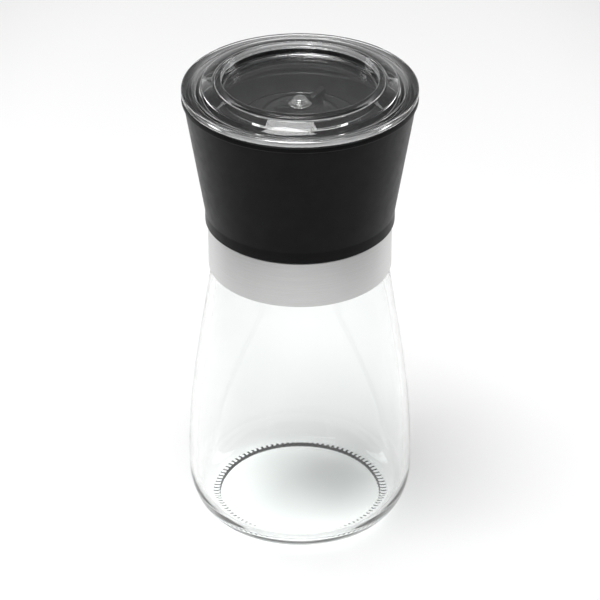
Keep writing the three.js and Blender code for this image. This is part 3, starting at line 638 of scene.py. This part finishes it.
def make_glide_ring():
    outline = ring_outline(RIB_BORE, GLIDE_RADIUS, GLIDE_LOW, GLIDE_HIGH, (0.25, 0.25, 0.25, 0.25))
    ring = turned_piece("glide_ring_dressed", outline)
    finish_piece(ring, "collar", NYLON, "pale_nylon", "glide_ring")


def make_spring():
    """Round wire wound at an even pitch; it shortens as the inner burr goes down."""
    wire = 0.5
    turns = 3.5
    pitch = (SPRING_HIGH - SPRING_LOW - 2 * wire) / turns
    spring = wound_ridge(
        "spring", SPRING_RADIUS - wire, wire, 2 * wire, SPRING_HIGH - wire, 0, turns, pitch,
        buried=1, fade=0,
    )
    soften(spring, 60)
    spring.data.materials.append(BRIGHT_STEEL)
    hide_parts("burr_spring")
    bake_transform(spring)


def make_end_cap():
    """The small stepped dome over the shaft's end, bored from below."""
    bore_top = CAP_LOW + 0.7
    outline = rounded(
        [
            (0, bore_top),
            (STUD_BORE, bore_top),
            (STUD_BORE, CAP_LOW, 0.05),
            (CAP_RADIUS, CAP_LOW, 0.12),
            (CAP_RADIUS, CAP_LOW + 0.5, 0.14),
            (CAP_RADIUS - 0.45, CAP_LOW + 0.58, 0.05),
            (CAP_RADIUS - 0.32, CAP_LOW + 1.02, 0.14),
            (CAP_RADIUS - 0.8, CAP_LOW + 1.1, 0.05),
            (CAP_RADIUS - 0.68, CAP_HIGH, 0.3),
            (0, CAP_HIGH),
        ],
        4,
    )
    cap = turned_piece("end_cap_dressed", outline, SMALL, closed=False)
    finish_piece(cap, "collar", BRIGHT_STEEL, "bright_steel", "end_cap")


# ------------------------------------------------------------------ cup and grinder


def make_cup():
    """The cone and its rim, the floor with a seat and a boss for the carrier, and the bearing rib."""
    foot = BAND_RADIUS + 0.9
    rim_bore = RIM_RADIUS - 2.9
    floor_radius = 32.4
    under = FLOOR_Z - 2.4
    seat_low = FLOOR_Z - 1.7
    boss_low = FLOOR_Z - 16
    seat_bore = CARRIER_FLANGE + CLEARANCE
    boss_bore = CARRIER_FLANGE - 0.1
    boss_radius = CARRIER_FLANGE + 1.6
    rib_low = GLIDE_HIGH + CLEARANCE
    rib_high = SNAP_LOW - CLEARANCE
    outline = rounded(
        [
            (CUP_FOOT_BORE, CUP_LOW, 0.2),
            (foot, CUP_LOW, 0.5),
            (foot, CUP_LOW + 4, 4.0),
            (RIM_RADIUS - 0.65, RIM_Z - 1.9, 0.35),
            (RIM_RADIUS, RIM_Z - 1.55, 0.3),
            (RIM_RADIUS, RIM_Z, 0.6),
            (rim_bore, RIM_Z, 0.6),
            (floor_radius, FLOOR_Z, 1.6),
            (seat_bore, FLOOR_Z, 0.25),
            (seat_bore, seat_low),
            (boss_bore, seat_low),
            (boss_bore, boss_low, 0.3),
            (boss_radius, boss_low, 0.4),
            (boss_radius, under, 0.8),
            (33.3, under, 1.2),
            (29.1, rib_high, 0.3),
            (RIB_BORE, rib_high, 0.2),
            (RIB_BORE, rib_low, 0.2),
            (CUP_FOOT_BORE, rib_low),
        ]
    )
    cup = turned_piece("cup", outline, FINEST)
    finish_piece(cup, "cup", MATT_BLACK, "matt_black", "grip_cup")


def make_carrier():
    """The tube round the ring burr, with a gloss lip that slopes down to the burr."""
    bore = BURR_RADIUS + CLEARANCE
    tube = bore + 1.7
    lip = KNOB_RADIUS + 2.3
    under = FLOOR_Z - 1.8
    flange_low = FLOOR_Z - 1.4
    outline = rounded(
        [
            (bore, CARRIER_LOW, 0.2),
            (tube, CARRIER_LOW, 0.2),
            (tube, flange_low),
            (CARRIER_FLANGE, flange_low),
            (CARRIER_FLANGE, FLOOR_Z, 0.3),
            (lip + 2.6, FLOOR_Z - 0.35, 0.8),
            (lip + 0.5, FLOOR_Z - 1.5, 0.3),
            (lip, FLOOR_Z - 1.6, 0.1),
            (lip, under),
            (bore, under),
        ]
    )
    carrier = turned_piece("carrier", outline)
    finish_piece(carrier, "cup", GLOSS_BLACK, "gloss_black", "burr_carrier")


def make_retainer():
    bore = KNOB_RADIUS + 0.5
    outline = ring_outline(bore, RETAINER_RADIUS, RETAINER_LOW, RETAINER_HIGH, (0.3, 0.3, 0.2, 0.2))
    ring = turned_piece("retainer", outline)
    finish_piece(ring, "cup", GLOSS_BLACK, "gloss_black", "burr_retainer")


def knob_flutes():
    """Upright cutters round the knob, one for each flute, each as wide as its share of the rim."""
    radius = math.pi * KNOB_RADIUS / FLUTE_COUNT
    clear_selection()
    bpy.ops.mesh.primitive_cylinder_add(
        vertices=40, radius=radius * MM, depth=20 * MM,
        location=((KNOB_RADIUS + 1) * MM, 0, KNOB_LOW * MM),
    )
    first = settle(bpy.context.object)
    cutters = [first]
    for i in range(1, FLUTE_COUNT):
        cutter = first.copy()
        cutter.data = first.data.copy()
        bpy.context.scene.collection.objects.link(cutter)
        cutter.rotation_euler = (0, 0, 2 * math.pi * i / FLUTE_COUNT)
        cutters.append(cutter)
    clear_selection()
    for cutter in cutters:
        cutter.select_set(True)
    bpy.context.view_layer.objects.active = first
    bpy.ops.object.join()
    return settle(first)


def knob_wing(turn):
    """A thin upright fin whose top edge rises towards its outer end."""
    inner, outer = 4.3, KNOB_RADIUS - 2.7
    middle = (inner + outer) / 2
    thickness = 2.1
    height = 4.0
    foot = KNOB_TOP - 2.4
    top = foot + height
    inner_rise, outer_rise = 1.3, 3.1  # above the knob's flat top
    clear_selection()
    bpy.ops.mesh.primitive_cube_add(size=MM, location=(middle * MM, 0, (foot + height / 2) * MM))
    wing = bpy.context.object
    wing.scale = (outer - inner, thickness, height)
    settle(wing)

    def outer_top(place):
        return place.z > foot + 1 and place.x > middle

    def inner_top(place):
        return place.z > foot + 1 and place.x < middle

    shift_vertices(wing, outer_top, (-0.15, 0, KNOB_TOP + outer_rise - top))
    shift_vertices(wing, inner_top, (0, 0, KNOB_TOP + inner_rise - top))
    apply_modifier(wing, "BEVEL", width=0.28 * MM, segments=3)
    wing.rotation_euler = (0, 0, math.radians(turn))
    return settle(wing)


def knob_mark(index):
    """One of the raised marks on the dome: three pips, each larger than the last, then a ring."""
    size = 0.45 + 0.08 * index
    place = Vector((KNOB_RADIUS - 3.5, 0, KNOB_TOP - 1.05))
    clear_selection()
    if index < PIP_COUNT:
        bpy.ops.mesh.primitive_uv_sphere_add(
            segments=24, ring_count=12, radius=size * MM, location=place * MM
        )
    else:
        bpy.ops.mesh.primitive_torus_add(
            major_segments=40, minor_segments=12, major_radius=0.85 * MM, minor_radius=0.22 * MM,
            location=(place + Vector((0.1, 0, 0.15))) * MM, rotation=(0, math.radians(32), 0),
        )
    mark = settle(bpy.context.object)
    mark.rotation_euler = (0, 0, math.radians(FIRST_MARK_ANGLE + MARK_STEP * index))
    return settle(mark)


def make_knob():
    """A dome on a short skirt, hollow round its hub, with flutes, two wings and four marks."""
    hub = 7.5
    hub_low = KNOB_LOW - 0.4
    flat_top = 4.4
    domed = KNOB_LOW + 1.8
    skirt_bore = KNOB_RADIUS - 2.4
    outline = rounded(
        [
            (STUD_BORE, hub_low),
            (hub, hub_low, 0.2),
            (hub, domed + 1, 0.5),
            (skirt_bore - 0.6, domed, 0.4),
            (skirt_bore, KNOB_LOW, 0.2),
            (KNOB_RADIUS, KNOB_LOW, 0.25),
            *arc((flat_top, domed), (KNOB_RADIUS - flat_top, KNOB_TOP - domed), 0, 90, 22),
            (STUD_BORE, KNOB_TOP),
        ],
        3,
    )
    knob = turned_piece("knob", outline)
    join_into(knob, knob_flutes(), "DIFFERENCE")
    for turn in (WING_ANGLE, WING_ANGLE + 180):
        join_into(knob, knob_wing(turn), "UNION")
    for index in range(PIP_COUNT + 1):
        join_into(knob, knob_mark(index), "UNION")
    soften(knob, 32)
    finish_piece(knob, "knob", GLOSS_BLACK, "gloss_black", "adjuster_knob")


# ------------------------------------------------------------------ lid


def make_lid():
    """A plug skirt inside the rim, a thick flange on it, and a raised ring round a sunken floor."""
    seat = RIM_Z + CLEARANCE
    plug = 33.2
    plug_bore = plug - 1.8
    ring = 25.9
    under = LID_LOW + 3.2
    floor_top = under + 1.5
    slope = [(LID_RADIUS - 3, seat + 2.35), (LID_RADIUS - 7.5, LID_HIGH - 0.2), (ring + 0.4, LID_HIGH)]
    outline = rounded(
        [
            (0, under),
            (ring + 0.9, under, 0.5),
            (ring + 0.9, LID_HIGH - 2, 0.8),
            (plug_bore - 0.4, seat + 1.3, 0.8),
            (plug_bore, LID_LOW, 0.5),
            (plug, LID_LOW, 0.5),
            (plug + 0.2, seat, 0.3),
            (LID_RADIUS, seat, 0.6),
            (LID_RADIUS, seat + 2.3, 0.8),
            *curve(slope, 14),
            (ring - 0.7, LID_HIGH, 0.5),
            (ring - 1.05, floor_top, 0.9),
            (0, floor_top),
        ],
        6,
    )
    lid = turned_piece("lid", outline, FINEST, closed=False)
    finish_piece(lid, "lid", LID_PLASTIC, "clear_plastic", "dust_lid")


make_jar()
make_seal()
make_collar()
make_band()
make_funnel()
make_glide_ring()
make_spring()
make_end_cap()
make_cup()
make_carrier()
make_retainer()
make_knob()
make_lid()

# Small pieces that keep their CAD shape: node, piece, body, material, slot, broken edge
DRESSED = (
    ("shaft_bridge", "bridge", "collar", NYLON, "pale_nylon", 0.25),
    ("grinder_shaft", "shaft", "collar", BRIGHT_STEEL, "bright_steel", 0.12),
    ("shaft_clip", "clip", "collar", BRIGHT_STEEL, "bright_steel", 0.08),
    ("snap_ring", "open_ring", "collar", BRIGHT_STEEL, "bright_steel", 0.12),
    ("star_washer", "toothed_washer", "collar", BRIGHT_STEEL, "bright_steel", 0.05),
    ("inner_burr", "cone_burr", "inner_burr", CERAMIC, "white_ceramic", 0.1),
    ("burr_driver", "driver", "inner_burr", NYLON, "pale_nylon", 0.2),
    ("thrust_washer", "flat_washer", "inner_burr", BRIGHT_STEEL, "bright_steel", 0.08),
    ("outer_burr", "ring_burr", "cup", CERAMIC, "white_ceramic", 0.12),
)
for node, name, body, material, slot_name, edge in DRESSED:
    finish_piece(dressed_copy(node, name, edge), body, material, slot_name, node)

# ------------------------------------------------------------------ studio

# The studio's sizes are in metres.
MIDDLE = Vector((0, 0, 0.0775))  # the camera and the lamps are aimed here
CAMERA_ELEVATION = 30.75
CAMERA_DISTANCE = 1.13
CAMERA_LENS = 205
FLOOR_SIZE = 6
FLOOR_DROP = 0.0002  # keeps the floor off the jar's foot
PAINTED_POOL_CENTRE = (0, 0.1, 0)  # painted pool of light: the floor's colour is palest here
# the size of the painted pool of light on the floor
PAINTED_POOL_SIZE = (0.21, 0.55, 1)
LAMPS = (
    # name, place, size, watts
    ("overhead_softbox", (-0.1, -0.1, 0.95), (0.45, 0.45), 6.6),
    ("left_softbox", (-0.7, 0.35, 0.35), (0.25, 0.7), 1.6),
    ("right_softbox", (0.7, 0.35, 0.35), (0.25, 0.7), 1.6),
)


def painted_pool_floor_finish():
    """Painted pool of light: the floor's colour is pale round the mill and a little darker far away, a
    painted falloff of light, which draws the edges of the glass.
    """
    finish = Finish("floor with painted pool of light", (0.9, 0.9, 0.9), 0.7, Specular_IOR_Level=0.1)
    shift = finish.node("ShaderNodeVectorMath", operation="SUBTRACT")
    shift.inputs[1].default_value = PAINTED_POOL_CENTRE
    scale = finish.node("ShaderNodeVectorMath", operation="DIVIDE")
    scale.inputs[1].default_value = PAINTED_POOL_SIZE
    length = finish.node("ShaderNodeVectorMath", operation="LENGTH")
    fade = finish.node("ShaderNodeMapRange", interpolation_type="SMOOTHSTEP")
    fade.inputs["From Min"].default_value = 0.6
    fade.inputs["From Max"].default_value = 1.5
    finish.link(finish.place, shift.inputs[0])
    finish.link(shift.outputs[0], scale.inputs[0])
    finish.link(scale.outputs[0], length.inputs[0])
    finish.link(length.outputs["Value"], fade.inputs["Value"])
    # painted light: the colour runs from pale at the pool's centre to darker far away
    finish.vary_colour(fade.outputs["Result"], (0.9, 0.9, 0.9), (0.5, 0.5, 0.5), 0, 1)
    return finish.material


def make_floor():
    clear_selection()
    bpy.ops.mesh.primitive_plane_add(size=FLOOR_SIZE, location=(0, 0, -FLOOR_DROP))
    floor = settle(bpy.context.object)
    floor.name = "floor"
    floor.data.materials.append(painted_pool_floor_finish())


def make_lamp(name, place, size, watts):
    """A rectangular softbox aimed at the mill's middle."""
    lamp = bpy.data.lights.new(name, "AREA")
    lamp.shape = "RECTANGLE"
    lamp.size, lamp.size_y = size
    lamp.energy = watts
    holder = bpy.data.objects.new(name, lamp)
    bpy.context.scene.collection.objects.link(holder)
    holder.location = place
    holder.rotation_euler = (MIDDLE - Vector(place)).to_track_quat("-Z", "Y").to_euler()


def make_surroundings():
    """Bright behind and above the mill and dim in front of it; plain white to the camera."""
    world = bpy.data.worlds.new("studio")
    bpy.context.scene.world = world
    world.use_nodes = True
    tree = world.node_tree

    def node(kind, **settings):
        return add_node(tree, kind, **settings)

    def ramp(source, start, end, low, high):
        """Goes smoothly from low to high as the source goes from start to end."""
        made = node("ShaderNodeMapRange", interpolation_type="SMOOTHSTEP")
        sockets = {"From Min": start, "From Max": end, "To Min": low, "To Max": high}
        for socket, value in sockets.items():
            made.inputs[socket].default_value = value
        tree.links.new(source, made.inputs["Value"])
        return made.outputs["Result"]

    def combined(operation, first, second):
        made = node("ShaderNodeMath", operation=operation)
        tree.links.new(first, made.inputs[0])
        tree.links.new(second, made.inputs[1])
        return made.outputs[0]

    direction = node("ShaderNodeSeparateXYZ")
    tree.links.new(node("ShaderNodeTexCoord").outputs["Generated"], direction.inputs["Vector"])
    behind = ramp(direction.outputs["Y"], -0.1, 0.55, 0.06, 0.95)
    low = ramp(direction.outputs["Z"], 0.15, 0.45, 1.0, 0.25)
    above = ramp(direction.outputs["Z"], 0.5, 0.85, 0.06, 0.55)
    horizon = combined("MULTIPLY", behind, low)
    camera_ray = node("ShaderNodeLightPath").outputs["Is Camera Ray"]
    strength = combined("MAXIMUM", combined("MAXIMUM", horizon, above), camera_ray)
    background = tree.nodes["Background"]
    background.inputs["Color"].default_value = (1, 1, 1, 1)
    tree.links.new(strength, background.inputs["Strength"])


def make_camera():
    camera = bpy.data.cameras.new("camera")
    camera.lens = CAMERA_LENS
    holder = bpy.data.objects.new("camera", camera)
    bpy.context.scene.collection.objects.link(holder)
    elevation = math.radians(CAMERA_ELEVATION)
    offset = Vector((0, -math.cos(elevation), math.sin(elevation))) * CAMERA_DISTANCE
    holder.location = MIDDLE + offset
    holder.rotation_euler = (-offset).to_track_quat("-Z", "Y").to_euler()
    bpy.context.scene.camera = holder


make_floor()
make_surroundings()
for lamp_name, place, size, watts in LAMPS:
    make_lamp(lamp_name, place, size, watts)
make_camera()
bpy.context.scene.view_settings.view_transform = "Standard"
